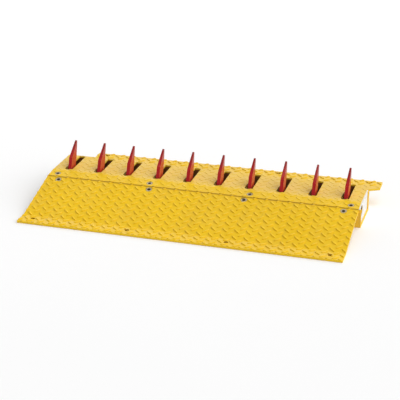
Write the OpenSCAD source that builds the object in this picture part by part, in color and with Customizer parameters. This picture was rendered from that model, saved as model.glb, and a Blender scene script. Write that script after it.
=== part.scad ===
// Surface-mounted tyre spike strip: a ramp, a slotted deck and a row of sprung folding spikes.
// X runs along the strip, +Y is the way the traffic may drive, Z is up.
// The origin is the middle of the housing's underside.

/* [Module] */
// Length of one module
module_length = 914.4; // [800:0.1:1100]
// Height of the level deck above the ground
deck_height = 59; // [50:0.5:70]
// Thickness of the tread plates
plate_t = 6; // [5:0.5:7]
// Thickness of the base, the walls and the left end plate
wall_t = 4; // [3:0.5:6]

/* [Ramp] */
// Depth of the flat front flange
flange_depth = 42; // [38:1:70]
// Level run of the sloping part of the ramp
ramp_run = 176; // [130:1:240]
// Depth of the joint between the tread plates below the deck
joint_drop = 4; // [3:0.25:5]
// Inner radius of the bend between flange and ramp
ramp_bend_r = 20; // [10:1:40]
// Diameter of the anchor holes in the front flange
anchor_d = 12; // [8:0.5:16]
// Distance of the anchor holes from the front edge
anchor_setback = 24; // [16:0.5:30]
// Distance of the outer anchor holes from the ends
anchor_margin = 37.2; // [20:0.2:80]

/* [Deck] */
// Level run of the sloping front strip of the top plate
strip_run = 36; // [33:1:42]
// Inner radius of the bend between strip and deck
deck_bend_r = 40; // [20:1:60]
// Gap between the ramp plate and the top plate
joint_gap = 1; // [0.4:0.1:2]
// Width of the slots
slot_width = 19; // [16:0.5:24]
// Room between the standing bar and the slot's front end
slot_front_room = 1.3; // [1:0.1:3]
// Room between the folded tip and the slot's rear end
slot_clearance = 1.2; // [1:0.1:5]
// Bridge of plate between the slots and the rear wall
slot_bridge = 0.4; // [0.3:0.1:8]
// Depth of the rear flange behind the housing
rear_flange_depth = 35.6; // [28:0.1:60]
// Length of the notch in the rear flange at the left end
rear_notch = 84; // [40:1:110]
// Reach of the rear flange's tab past the right end
rear_tab = 33; // [10:1:60]
// Depth of the tab where it leaves the deck
tab_depth = 62; // [40:1:70]
// Depth that the tab loses towards its end
tab_taper = 17; // [0:1:30]
// Diameter of the bolt holes in the rear flange
rear_hole_d = 11; // [6:0.5:14]
// Distance of the rear holes from the rear edge
rear_hole_setback = 13; // [9:0.5:18]
// Distance of the outer rear holes from the ends of the rear flange
rear_hole_margin = 32.7; // [16:0.1:80]

/* [Spikes] */
// Thickness of the spike bar
spike_t = 10; // [8:0.5:12]
// Width of the spike bar
bar_width = 32; // [26:0.5:34]
// Lean of the standing bar, measured from the ground
bar_lean = 68; // [65:0.5:72]
// Slope of the slanting cut, measured from the ground
cut_slope = 40; // [38:0.5:42]
// Level distance from the pivot to the rear corner of the standing tip
tip_reach = 91.1; // [85:0.1:93]
// Height of the tip's rear corner above the deck
tip_height = 66.5; // [60:0.5:70]
// Width of the blunt end of the tip
tip_flat = 4; // [2:0.25:6]
// Depth of the folded tip below the deck
tip_sink = 0.4; // [0.2:0.1:2]
// Length of the ground bevels at the tip
bevel_length = 46; // [24:1:50]
// Thickness left at the tip
tip_t = 5.2; // [3:0.1:7]
// Height where the neck joins the bar's rear edge, below the deck
heel_drop = 4; // [3:0.5:6]
// Room between the neck and the underside of the deck
neck_clearance = 3; // [2.5:0.25:5]

/* [Pivot] */
// Distance from the front wall's face to the pivot
pivot_setback = 23; // [22:0.5:26]
// Depth of the pivot below the deck
pivot_drop = 26; // [25:0.5:27]
// Diameter of the pivot shaft
shaft_d = 15; // [12:0.5:16]
// Radial running clearance on the shaft
run_clearance = 0.05; // [0.02:0.01:0.1]
// Outer diameter of the spike hubs
hub_d = 24; // [22:0.5:25]
// Length of the spike hubs
hub_length = 24; // [16:1:28]
// Room between the toe and the base
toe_clearance = 3; // [2:0.25:4]
// Width of the toe
toe_width = 11; // [10:0.5:12]
// Angle of the toe below the level
toe_angle = 78; // [72:1:82]
// Distance along the toe from its round to the corner with the neck's underside
web_rise = 7; // [6:0.25:8]
// Width of the stop bar
stop_width = 10; // [8:0.5:12]
// Height of the stop bar
stop_height = 8; // [7:0.5:9]
// Gap left where flat faces of moving pieces meet
seat_gap = 0.3; // [0.2:0.05:0.5]
// Thickness of the shaft ribs
rib_t = 6; // [4:0.5:10]
// Outer diameter of the spacer sleeves
sleeve_d = 18; // [17:0.25:18.5]
// Distance from the module's ends to the end ribs
end_rib_gap = 18; // [16:0.5:20]
// Diameter of the retaining rings
ring_d = 22; // [20:0.5:26]
// Thickness of the retaining rings
ring_t = 1.6; // [1:0.1:2]
// Depth of the ring grooves in the shaft
groove_depth = 0.8; // [0.5:0.1:1.2]
// Width of the opening in the retaining rings
ring_opening = 5.3; // [4:0.1:7]

/* [Springs] */
// Diameter of the spring wire
wire_d = 3; // [2.5:0.1:3.2]
// Mean radius of the coil
coil_r = 11.6; // [11.4:0.1:12]
// Number of full turns, besides the part turn between the legs
coil_turns = 4; // [3:1:5]
// Clear gap between neighbouring turns
turn_gap = 0.7; // [0.5:0.1:1]
// Level distance from the pivot to the hook under the spike's neck
hook_reach = 33; // [31:0.5:36]

/* [Housing] */
// Depth that the left end plate sits inside its end
end_inset = 4; // [2:0.5:6]
// Diameter of the shaft hole in the left end plate
port_d = 28; // [26:0.5:29]
// Thickness of the right end plate, which stands proud of the deck
right_plate_t = 3; // [2:0.25:4]
// Depth of the right end plate's top edge below the deck's face
right_plate_drop = 1; // [0.5:0.25:3]
// Diameter of the hole in the right end plate
right_port_d = 32; // [28:0.5:33]
// Distance of that hole behind the pivot
right_port_back = 5.3; // [0:0.1:7]
// Height of that hole above the pivot
right_port_rise = 5; // [0:0.1:6]
// Height of the raised rim on the right end plate
rim_rise = 3.8; // [2:0.1:5]
// Width of the rim
rim_width = 4; // [3:0.25:6]
// Distance from the slots' rear ends forward to the rim's rear edge
rim_setback = 28; // [26:0.5:36]
// Thickness of the front rail
rail_t = 3.5; // [3:0.25:4]
// Reach of the rail in front of the front wall's face
rail_front = 28; // [25:0.5:36]

/* [Screws] */
// Diameter of the screw shanks
screw_d = 8; // [6:0.5:8]
// Diameter of the countersunk heads
head_d = 16.5; // [14:0.5:18]
// Height of the countersunk heads
head_h = 4.4; // [3.8:0.1:4.8]
// Width of the hex sockets
socket_w = 6; // [4:0.5:7]
// Depth of the hex sockets
socket_depth = 2.8; // [1.5:0.1:3.2]
// Level distance from the ramp's top edge to the ramp screws
ramp_screw_setback = 14; // [12:0.5:17]
// Distance of the outer ramp screws from the ends
ramp_screw_margin = 38.7; // [25:0.1:80]
// Level distance from the front wall's face to the top screws
top_screw_setback = 16; // [13:0.5:16.5]
// Distance from the middle to the inner top screws
top_screw_inner = 148; // [100:1:180]
// Distance of the outer top screws from the ends
top_screw_margin = 24.2; // [22:0.1:60]
// Room between a screw and its hole
screw_clearance = 0.2; // [0.1:0.05:0.5]

/* [Hidden] */
$fn = 64;
spike_count = 10;
screw_count = 4;
rib_count = 6;
bend_steps = 5;
toe_steps = 6;
cut_over = 1;
hub_bite = 2;

function spike_name(i) = str("spike_", i < 10 ? "0" : "", i);
function spring_name(i) = str("return_spring_", i < 10 ? "0" : "", i);
function rib_name(i) = str("shaft_rib_", i);

// Colours of the finishes
yellow_paint = [0.91, 0.72, 0.14];
red_paint = [0.66, 0.11, 0.12];
pale_paint = [0.93, 0.94, 0.94];
bare_steel = [0.62, 0.63, 0.65];

// Heights that follow the deck
ramp_height = deck_height - joint_drop;
pivot_height = deck_height - pivot_drop;
deck_under_z = deck_height - plate_t;
tip_rise = tip_height + pivot_drop;
toe_reach = (pivot_height - wall_t - toe_clearance - toe_width / 2) / sin(toe_angle);
web_drop = toe_reach - web_rise;

// Spike row
half_length = module_length / 2;
spike_pitch = module_length / spike_count;
function spike_x(i) = (i - (spike_count + 1) / 2) * spike_pitch;

// Spike's blunt tip, measured from the pivot: its rear corner and its higher front corner
bar_dir = [cos(bar_lean), sin(bar_lean)];
bar_side = [-sin(bar_lean), cos(bar_lean)];
tip = [tip_reach, tip_rise];
tip_front = tip + tip_flat * bar_side;
tip_radius = norm(tip);

// Fold of the spikes, from standing to the tip's front corner just under the deck
function angle_of(point) = atan2(point[1], point[0]);
folded_angle = asin((pivot_drop - tip_sink) / norm(tip_front));
fold_angle = angle_of(tip_front) - folded_angle;
folded_reach = tip_radius * cos(angle_of(tip) - fold_angle);

// Housing depth, which follows the folded spike
slot_rear_setback = pivot_setback + folded_reach + slot_clearance;
housing_depth = slot_rear_setback + slot_bridge + wall_t;
front_y = -housing_depth / 2;
rear_y = housing_depth / 2;
front_inner_y = front_y + wall_t;
rear_inner_y = rear_y - wall_t;
pivot_y = front_y + pivot_setback;
slot_rear_y = front_y + slot_rear_setback;
rear_edge_y = rear_y + rear_flange_depth;
tab_front_y = rear_edge_y - tab_depth;
rim_rear_y = slot_rear_y - rim_setback;
left_outer_x = -half_length + end_inset;
rim_x = half_length + right_plate_t;

// Ramp profile
ramp_angle = atan2(ramp_height - plate_t, ramp_run);
bend_y = front_y - ramp_run;
front_edge_y = bend_y - flange_depth;
joint_under_z = ramp_height - plate_t / cos(ramp_angle);

// Strip profile
strip_angle = atan2(deck_under_z - joint_under_z, strip_run);
deck_start_y = front_y + strip_run;
function strip_under_z(y) = joint_under_z + (y - front_y) * tan(strip_angle);
function ramp_under_z(y) = joint_under_z + (y - front_y) * tan(ramp_angle);
right_front_z = joint_under_z + plate_t / cos(strip_angle) - right_plate_drop;
rim_front_z = right_front_z - right_plate_drop;
rim_top_z = deck_height - 2 * right_plate_drop;

// Front rail, which ends above the pivot
rail_rear_y = pivot_y;
rail_drop = rail_t / cos(ramp_angle);
function rail_under_z(y) = strip_under_z(y) - rail_drop;

// Points of a bent corner between two straight runs, from the slope of the first to that of the second
function corner(y, z, a0, a1, r) =
    let (
        turn = a1 - a0,
        side = sign(turn),
        run_in = r * tan(abs(turn) / 2),
        start = [y - run_in * cos(a0), z - run_in * sin(a0)],
        middle = start + side * r * [-sin(a0), cos(a0)]
    )
    [for (k = [0 : bend_steps])
        let (a = a0 + turn * k / bend_steps)
        middle + side * r * [sin(a), -cos(a)]];

function reversed(list) = [for (k = [len(list) - 1 : -1 : 0]) list[k]];

// Rows of holes, set in from the ends
rear_flange_x0 = -half_length + rear_notch;
rear_flange_x1 = half_length + rear_tab;
rear_hole_x0 = rear_flange_x0 + rear_hole_margin;
rear_hole_x1 = rear_flange_x1 - rear_hole_margin;
rear_hole_y = rear_edge_y - rear_hole_setback;
anchor_y = front_edge_y + anchor_setback;
function row_x(k, from_x, to_x) = from_x + (to_x - from_x) * k / (screw_count - 1);
anchor_x = half_length - anchor_margin;
ramp_screw_x = half_length - ramp_screw_margin;

// Screw seats
ramp_screw_y = front_y - ramp_screw_setback;
ramp_screw_z = ramp_under_z(ramp_screw_y) + plate_t / cos(ramp_angle);
top_screw_y = front_y + top_screw_setback;
top_screw_z = strip_under_z(top_screw_y) + plate_t / cos(strip_angle);
top_screw_outer = half_length - top_screw_margin;
top_screw_xs = [-top_screw_outer, -top_screw_inner, top_screw_inner, top_screw_outer];
screw_length = plate_t + rail_t - seat_gap;

// Spike profile, measured from the pivot
cut_length = (bar_width - tip_flat) / sin(bar_lean - cut_slope);
cut_corner = tip_front - cut_length * [cos(cut_slope), sin(cut_slope)];
neck_top = deck_under_z - neck_clearance - pivot_height;
heel_top = deck_height - heel_drop - pivot_height;
function bar_front(z) = cut_corner - bar_dir * (cut_corner[1] - z) / bar_dir[1];
front_foot = bar_front(neck_top);
slot_front_y = pivot_y + bar_front(deck_under_z - pivot_height)[0] - slot_front_room;
heel = tip - bar_dir * (tip[1] - heel_top) / bar_dir[1];
hub_r = hub_d / 2;
bore_r = shaft_d / 2 + run_clearance;

// Toe, which points down from the hub and ends in a round
toe_dir = [cos(toe_angle), -sin(toe_angle)];
toe_side = toe_width / 2 * [sin(toe_angle), cos(toe_angle)];
toe_mid = toe_reach * toe_dir;
toe_round = [for (k = [0 : toe_steps])
    let (a = 90 - toe_angle - 180 * k / toe_steps)
    toe_mid + toe_width / 2 * [cos(a), sin(a)]];

// The neck's underside runs from the bar's heel to the side of the toe
neck_foot = toe_side + web_drop * toe_dir;
neck_slope = angle_of(heel - neck_foot);

// Stop bar, just behind the toes of the standing spikes and never above the underside of the coils
stop_front_y = pivot_y + toe_mid[0] + toe_side[0] + seat_gap;
stop_rear_y = stop_front_y + stop_width;
stop_top_z = min(wall_t + stop_height, pivot_height - coil_r - wire_d / 2 - seat_gap);

// Ribs stand at the ends and between every second pair of spikes
end_rib_x = half_length - end_rib_gap - rib_t / 2;
function rib_x(i) =
    i == 1 ? -end_rib_x
    : i == rib_count ? end_rib_x
    : (i - (rib_count + 1) / 2) * 2 * spike_pitch;

// Shaft and what sits on it
shaft_end_x = end_rib_x + rib_t / 2 + ring_t * 2 + seat_gap;
ring_x = end_rib_x + rib_t / 2 + seat_gap;
shaft_stations = concat(
    [[-end_rib_x, rib_t]],
    [for (i = [1 : spike_count])
        each concat(
            [[spike_x(i), hub_length]],
            [for (k = [2 : rib_count - 1]) if (i == 2 * (k - 1)) [rib_x(k), rib_t]]
        )],
    [[end_rib_x, rib_t]]
);

// Torsion spring: the fixed leg lies on the stop bar, the hook lies under the neck
wire_r = wire_d / 2;
coil_pitch = wire_d + turn_gap;
turn_rings = 8;
wire_sides = 6;
stop_rest = [stop_rear_y - wire_d - pivot_y, stop_top_z + wire_r + seat_gap - pivot_height];
hook_z = neck_foot[1] + (hook_reach - neck_foot[0]) * tan(neck_slope) - (wire_r + seat_gap) / cos(neck_slope);
hook_point = [hook_reach, hook_z];
fixed_theta = angle_of(stop_rest) - acos(coil_r / norm(stop_rest));
hook_theta = angle_of(hook_point) + acos(coil_r / norm(hook_point));
coil_sweep = fixed_theta - hook_theta + 360 * (coil_turns + 1);
coil_near_x = hub_length / 2 + wire_r + seat_gap;
coil_far_x = coil_near_x + coil_pitch * coil_sweep / 360;
coil_steps = round(coil_sweep * turn_rings / 360);
hook_end_x = -spike_t / 2 - wire_r;
function on_coil(a) = [cos(a), sin(a)];

// Each path entry is a point and the sideways direction of its ring
spring_path = concat(
    [[[coil_far_x, stop_rest[0], stop_rest[1]], on_coil(fixed_theta)]],
    [for (k = [0 : coil_steps])
        let (
            a = fixed_theta - coil_sweep * k / coil_steps,
            x = coil_far_x + (coil_near_x - coil_far_x) * k / coil_steps
        )
        [[x, coil_r * cos(a), coil_r * sin(a)], on_coil(a)]],
    [[[coil_near_x, hook_point[0], hook_point[1]], on_coil(hook_theta)]],
    [[[hook_end_x, hook_point[0], hook_point[1]], on_coil(hook_theta)]]
);

function unit(v) = v / norm(v);
function path_dir(k) =
    let (last = len(spring_path) - 1)
    k == 0 ? unit(spring_path[1][0] - spring_path[0][0])
    : k == last ? unit(spring_path[last][0] - spring_path[last - 1][0])
    : unit(unit(spring_path[k + 1][0] - spring_path[k][0]) + unit(spring_path[k][0] - spring_path[k - 1][0]));

// Least clear distance between the wire and itself, over points a half turn or more apart
spring_gap = min([for (i = [0 : len(spring_path) - 1])
    for (j = [i + turn_rings / 2 : 1 : len(spring_path) - 1])
        norm(spring_path[i][0] - spring_path[j][0])]) - wire_d;

// Turns a drawing of the side view, with Y to the right and Z up, into a slab centred on the given X
module slab(x, thickness) {
    translate([x - thickness / 2, 0, 0])
        rotate([90, 0, 90])
            linear_extrude(thickness)
                children();
}

// Countersunk hole for a screw, standing on the plate's upper face
module screw_hole() {
    wide = screw_clearance;
    translate([0, 0, -head_h])
        cylinder(h = head_h + wide, d1 = screw_d + 2 * wide, d2 = head_d + 2 * wide);
    translate([0, 0, -plate_t - rail_t - cut_over])
        cylinder(h = plate_t + rail_t + 2 * cut_over, d = screw_d + 2 * wide);
    cylinder(h = cut_over, d = head_d + 2 * wide);
}

module screw() {
    difference() {
        union() {
            translate([0, 0, -head_h])
                cylinder(h = head_h, d1 = screw_d, d2 = head_d);
            translate([0, 0, -screw_length])
                cylinder(h = screw_length - head_h, d = screw_d);
        }
        translate([0, 0, -socket_depth])
            cylinder(h = socket_depth + cut_over, d = socket_w / cos(30), $fn = 6);
    }
}

module at_ramp_screws() {
    for (k = [0 : screw_count - 1])
        translate([row_x(k, -ramp_screw_x, ramp_screw_x), ramp_screw_y, ramp_screw_z])
            rotate([ramp_angle, 0, 0])
                children();
}

module at_top_screws() {
    for (x = top_screw_xs)
        translate([x, top_screw_y, top_screw_z])
            rotate([strip_angle, 0, 0])
                children();
}

module ramp_profile() {
    end_y = front_y - joint_gap / 2;
    under = plate_t * tan(ramp_angle / 2);
    polygon(concat(
        [[front_edge_y, 0], [front_edge_y, plate_t]],
        corner(bend_y, plate_t, 0, ramp_angle, ramp_bend_r),
        [[end_y, ramp_under_z(end_y) + plate_t / cos(ramp_angle)], [end_y, ramp_under_z(end_y)]],
        reversed(corner(bend_y + under, 0, 0, ramp_angle, ramp_bend_r + plate_t))
    ));
}

module top_profile() {
    start_y = front_y + joint_gap / 2;
    over = plate_t * tan(strip_angle / 2);
    polygon(concat(
        [[start_y, strip_under_z(start_y)], [start_y, strip_under_z(start_y) + plate_t / cos(strip_angle)]],
        corner(deck_start_y - over, deck_height, strip_angle, 0, deck_bend_r + plate_t),
        [[rear_y, deck_height], [rear_y, deck_under_z]],
        reversed(corner(deck_start_y, deck_under_z, strip_angle, 0, deck_bend_r))
    ));
}

module rail_profile() {
    front = front_y - rail_front;
    polygon([
        [front, ramp_under_z(front)],
        [front_y, joint_under_z],
        [rail_rear_y, strip_under_z(rail_rear_y)],
        [rail_rear_y, rail_under_z(rail_rear_y)],
        [front_y, rail_under_z(front_y)],
        [front, ramp_under_z(front) - rail_drop]
    ]);
}

// Inside of the housing in side view, which the left end plate and ribs fill, less the rail and the stop bar
module inside_profile() {
    polygon(concat(
        [[rear_inner_y, wall_t], [rear_inner_y, deck_under_z]],
        reversed(corner(deck_start_y, deck_under_z, strip_angle, 0, deck_bend_r)),
        [[rail_rear_y, strip_under_z(rail_rear_y)], [rail_rear_y, rail_under_z(rail_rear_y)]],
        [[front_inner_y, rail_under_z(front_inner_y)], [front_inner_y, wall_t]],
        [[stop_front_y, wall_t], [stop_front_y, stop_top_z]],
        [[stop_rear_y, stop_top_z], [stop_rear_y, wall_t]]
    ));
}

// Right end plate in side view: it reaches just below the deck's face, and passes under the rear tab
module right_plate_profile() {
    over = plate_t * tan(strip_angle / 2);
    top = deck_height - right_plate_drop;
    tab_foot_y = tab_front_y - right_plate_drop;
    polygon(concat(
        [[front_y, 0], [rear_y, 0], [rear_y, deck_under_z], [tab_foot_y, deck_under_z], [tab_foot_y, top]],
        reversed(corner(deck_start_y - over, top, strip_angle, 0, deck_bend_r + plate_t)),
        [[front_y, right_front_z]]
    ));
}

// Rim on the right end plate in side view: open at the top
module rim_profile() {
    polygon([
        [front_y, 0], [rim_rear_y, 0], [rim_rear_y, rim_top_z], [rim_rear_y - rim_width, rim_top_z],
        [rim_rear_y - rim_width, rim_width], [front_y + rim_width, rim_width],
        [front_y + rim_width, rim_front_z], [front_y, rim_front_z]
    ]);
}

module pivot_bore(d) {
    translate([0, pivot_y, pivot_height])
        rotate([0, 90, 0])
            cylinder(h = 2 * module_length, d = d, center = true);
}

module ramp_plate() {
    color(yellow_paint)
        difference() {
            slab(0, module_length) ramp_profile();
            for (k = [0 : screw_count - 1])
                translate([row_x(k, -anchor_x, anchor_x), anchor_y, -cut_over])
                    cylinder(h = plate_t + 2 * cut_over, d = anchor_d);
            at_ramp_screws() screw_hole();
        }
}

// Tab of the rear flange seen from above, with its slanting front edge
module tab_outline() {
    polygon([
        [half_length - wall_t, tab_front_y], [half_length, tab_front_y],
        [rear_flange_x1, tab_front_y + tab_taper], [rear_flange_x1, rear_edge_y],
        [half_length - wall_t, rear_edge_y]
    ]);
}

module top_plate() {
    color(yellow_paint)
        difference() {
            union() {
                slab(0, module_length) top_profile();
                translate([rear_flange_x0, rear_inner_y, deck_under_z])
                    cube([half_length - rear_flange_x0, rear_flange_depth + wall_t, plate_t]);
                translate([0, 0, deck_under_z])
                    linear_extrude(plate_t)
                        tab_outline();
            }
            for (i = [1 : spike_count])
                translate([spike_x(i) - slot_width / 2, slot_front_y, deck_under_z - plate_t])
                    cube([slot_width, slot_rear_y - slot_front_y, 2 * plate_t + cut_over]);
            for (k = [0 : screw_count - 1])
                translate([row_x(k, rear_hole_x0, rear_hole_x1), rear_hole_y, deck_under_z - cut_over])
                    cylinder(h = plate_t + 2 * cut_over, d = rear_hole_d);
            at_top_screws() screw_hole();
        }
}

module base_plate() {
    color(yellow_paint)
        translate([-half_length, front_y, 0])
            cube([module_length, housing_depth, wall_t]);
}

module front_wall() {
    color(yellow_paint)
        slab(0, module_length)
            polygon([
                [front_y, wall_t], [front_y, rail_under_z(front_y)],
                [front_inner_y, rail_under_z(front_inner_y)], [front_inner_y, wall_t]
            ]);
}

module rear_wall() {
    color(yellow_paint)
        translate([-half_length, rear_inner_y, wall_t])
            cube([module_length, wall_t, deck_under_z - wall_t]);
}

module end_plate_left() {
    color(pale_paint)
        difference() {
            slab(left_outer_x + wall_t / 2, wall_t) inside_profile();
            pivot_bore(port_d);
        }
}

module end_plate_right() {
    color(pale_paint)
        difference() {
            slab(half_length + right_plate_t / 2, right_plate_t) right_plate_profile();
            translate([0, right_port_back, right_port_rise])
                pivot_bore(right_port_d);
        }
}

module end_rim_right() {
    color(yellow_paint)
        slab(rim_x + rim_rise / 2, rim_rise) rim_profile();
}

module front_rail() {
    color(yellow_paint)
        difference() {
            slab(0, module_length) rail_profile();
            at_ramp_screws() screw_hole();
            at_top_screws() screw_hole();
        }
}

module stop_bar() {
    color(bare_steel)
        translate([left_outer_x, stop_front_y, wall_t])
            cube([half_length - left_outer_x, stop_width, stop_top_z - wall_t]);
}

module shaft_rib(i) {
    color(yellow_paint)
        difference() {
            slab(rib_x(i), rib_t) inside_profile();
            pivot_bore(2 * bore_r);
        }
}

module pivot_shaft() {
    color(bare_steel)
        difference() {
            translate([-shaft_end_x, pivot_y, pivot_height])
                rotate([0, 90, 0])
                    cylinder(h = 2 * shaft_end_x, d = shaft_d);
            for (side = [-1, 1])
                translate([side * (ring_x + ring_t / 2), pivot_y, pivot_height])
                    rotate([0, 90, 0])
                        difference() {
                            cylinder(h = ring_t, d = shaft_d + cut_over, center = true);
                            cylinder(h = ring_t, d = shaft_d - 2 * groove_depth, center = true);
                        }
        }
}

module tube(x, length, outer, inner) {
    translate([x, pivot_y, pivot_height])
        rotate([0, 90, 0])
            difference() {
                cylinder(h = length, d = outer);
                translate([0, 0, -cut_over])
                    cylinder(h = length + 2 * cut_over, d = inner);
            }
}

module spacer_sleeves() {
    color(bare_steel)
        for (k = [0 : len(shaft_stations) - 2]) {
            from_x = shaft_stations[k][0] + shaft_stations[k][1] / 2 + seat_gap;
            to_x = shaft_stations[k + 1][0] - shaft_stations[k + 1][1] / 2 - seat_gap;
            tube(from_x, to_x - from_x, sleeve_d, 2 * bore_r);
        }
}

module retaining_rings() {
    color(bare_steel)
        for (side = [-1, 1])
            difference() {
                tube(side * (ring_x + ring_t / 2) - ring_t / 2, ring_t, ring_d, shaft_d - 2 * groove_depth);
                translate([side * (ring_x + ring_t / 2), pivot_y, pivot_height - ring_d / 2])
                    cube([ring_t * 2, ring_opening, ring_d], center = true);
            }
}

module ramp_screws() {
    color(bare_steel)
        at_ramp_screws() screw();
}

module top_screws() {
    color(bare_steel)
        at_top_screws() screw();
}

// Side view of a spike with the pivot at the origin
module spike_profile() {
    polygon(concat(
        [heel, neck_foot],
        toe_round,
        [-toe_side, [0, hub_r - hub_bite], front_foot, cut_corner, tip_front, tip]
    ));
}

// Wedge that the tip keeps, thin at the tip and as thick as the bar where the bevels start
module tip_wedge() {
    far = 2 * (tip_radius + toe_reach);
    reach = bevel_length + spike_t;
    function half_at(s) = (tip_t + (spike_t - tip_t) * s / bevel_length) / 2;
    linear_extrude(far, center = true)
        polygon([
            [-half_at(reach), -far], [half_at(reach), -far], [half_at(reach), -reach],
            [half_at(-cut_over), cut_over], [-half_at(-cut_over), cut_over], [-half_at(reach), -reach]
        ]);
}

module spike(i) {
    color(red_paint)
        translate([spike_x(i), pivot_y, pivot_height])
            difference() {
                union() {
                    intersection() {
                        slab(0, spike_t) spike_profile();
                        translate([0, tip_reach, tip_rise])
                            rotate([bar_lean, 0, 0])
                                tip_wedge();
                    }
                    rotate([0, 90, 0])
                        cylinder(h = hub_length, d = hub_d, center = true);
                }
                rotate([0, 90, 0])
                    cylinder(h = hub_length + 2 * cut_over, r = bore_r, center = true);
            }
}

module spring_wire() {
    rings = [for (k = [0 : len(spring_path) - 1])
        let (
            n = [0, spring_path[k][1][0], spring_path[k][1][1]],
            b = unit(cross(path_dir(k), n))
        )
        [for (s = [0 : wire_sides - 1])
            let (a = 360 * s / wire_sides)
            spring_path[k][0] + wire_r * (cos(a) * n + sin(a) * b)]];
    count = len(rings);
    sides = [for (k = [0 : count - 2])
        for (s = [0 : wire_sides - 1])
            let (
                p = k * wire_sides + s,
                q = k * wire_sides + (s + 1) % wire_sides
            )
            each [[p, q, q + wire_sides], [p, q + wire_sides, p + wire_sides]]];
    caps = [for (s = [1 : wire_sides - 2])
        each [[0, s + 1, s], (count - 1) * wire_sides * [1, 1, 1] + [0, s, s + 1]]];
    polyhedron(points = [for (ring = rings) each ring], faces = concat(sides, caps), convexity = 10);
}

// Springs stand on the inner side of their spikes
module return_spring(i) {
    color(bare_steel)
        translate([spike_x(i), pivot_y, pivot_height])
            mirror([i > spike_count / 2 ? 1 : 0, 0, 0])
                spring_wire();
}

ramp_plate();
top_plate();
base_plate();
front_wall();
rear_wall();
end_plate_left();
end_plate_right();
end_rim_right();
front_rail();
stop_bar();
pivot_shaft();
spacer_sleeves();
retaining_rings();
ramp_screws();
top_screws();
for (i = [1 : rib_count])
    shaft_rib(i);
for (i = [1 : spike_count])
    spike(i);
for (i = [1 : spike_count])
    return_spring(i);

echo(least_spring_gap = spring_gap);
echo(fold_angle = fold_angle);
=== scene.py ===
import math

import bmesh
import bpy
from mathutils import Matrix, Vector


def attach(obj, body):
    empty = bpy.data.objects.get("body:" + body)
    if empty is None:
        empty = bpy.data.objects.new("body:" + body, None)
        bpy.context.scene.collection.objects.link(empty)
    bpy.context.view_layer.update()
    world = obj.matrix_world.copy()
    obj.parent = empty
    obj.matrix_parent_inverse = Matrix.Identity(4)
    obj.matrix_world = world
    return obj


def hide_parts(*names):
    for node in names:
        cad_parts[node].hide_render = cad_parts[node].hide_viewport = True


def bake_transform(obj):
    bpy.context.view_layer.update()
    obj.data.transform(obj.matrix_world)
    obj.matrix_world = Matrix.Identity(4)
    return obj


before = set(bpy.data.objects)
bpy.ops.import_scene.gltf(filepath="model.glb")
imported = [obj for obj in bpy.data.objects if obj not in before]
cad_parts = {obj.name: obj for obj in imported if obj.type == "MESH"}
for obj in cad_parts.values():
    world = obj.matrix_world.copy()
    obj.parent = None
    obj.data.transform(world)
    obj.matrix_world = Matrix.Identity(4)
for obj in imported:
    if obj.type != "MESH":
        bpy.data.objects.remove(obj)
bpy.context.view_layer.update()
scene = bpy.context.scene
scene.view_settings.view_transform = "Standard"

MM = 0.001

# Sizes of the spike strip in millimetres, taken from the part's source
MODULE_LENGTH = 914.4
HALF = MODULE_LENGTH / 2
DECK_HEIGHT = 59.0
PLATE_T = 6.0
FRONT_EDGE_Y = -296.256
BEND_Y = -254.256
FRONT_Y = -78.2562
REAR_Y = 78.2562
REAR_EDGE_Y = 113.856
RAMP_ANGLE = math.radians(15.5577)
RAMP_BEND_R = 20.0
STRIP_ANGLE = math.radians(6.69869)
STRIP_RUN = 36.0
DECK_BEND_R = 40.0 + PLATE_T
RAMP_TOP_Z = 55.0
JOINT_GAP = 1.0
NOTCH_X = -373.2
TAB_X = 490.2
TAB_FRONT_Y = 51.8562
TAB_TAPER = 17.0
SLOT_WIDTH = 19.0
SLOT_FRONT_Y = -29.2612
SLOT_REAR_Y = 73.8562
SPIKE_COUNT = 10
SPIKE_PITCH = MODULE_LENGTH / SPIKE_COUNT
TIP_Z = 127.0
ANCHOR_Y = -272.256
ANCHOR_D = 12.0
ANCHOR_XS = [-420, -140, 140, 420]
REAR_HOLE_Y = 100.856
REAR_HOLE_D = 11.0
REAR_HOLE_MIDDLE = 58.5
REAR_HOLE_XS = [REAR_HOLE_MIDDLE + x for x in (-399, -133, 133, 399)]
COUNTERSINK_D = 16.9
RAMP_SCREW_XS = [-418.5, -139.5, 139.5, 418.5]
RAMP_SCREW_SETBACK = 14.0
RAMP_SCREW_Y = FRONT_Y - RAMP_SCREW_SETBACK
TOP_SCREW_XS = [-433, -148, 148, 433]
TOP_SCREW_SETBACK = 16.0
TOP_SCREW_Y = FRONT_Y + TOP_SCREW_SETBACK
PIVOT_Y = -55.2562
PIVOT_Z = 33.0

# Places of dirt, wear, painted shade and painted sheen in millimetres. A pair says where a mask begins to
# change and where it ends.
SOFT = 0.4
WEAR_RADIUS = 1.1
SPLASH_Z = (0, 30)
DIRT_Y = FRONT_Y - 1.6
DIRT_FROM_JOINT = (1.4, 4.4)
DUST_AND_SHEEN_FROM_FOLD = (-6, 22)
DUST_AND_SHEEN_FROM_REAR = (-14, 8)
SLOT_SHADE_LEFT = 4.2
SLOT_SHADE_FRONT_Y = -33.5
SLOT_SHADE_FROM_EDGE = (-0.8, 1.0)
SLOT_SHADE_Y = (20, 60)
SCREW_RING_R = (8.6, 10.6)
SOCKET_RIM_R = (4.4, 6.0)
SOCKET_DEPTH = (-1.6, -0.5)
HOLE_SKIN = (0.6, 1.2)
TIP_MARKS_Z = (88.0, TIP_Z)
CLEAN_TAB_X = 440.0
INNER_LEFT_X = -449.4
INNER_RIGHT_X = 457.4
INNER_Y = 74.6
FLOOR_Z = 3.5
CEILING_Z = 53.4
CREEP = 2.8
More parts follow.
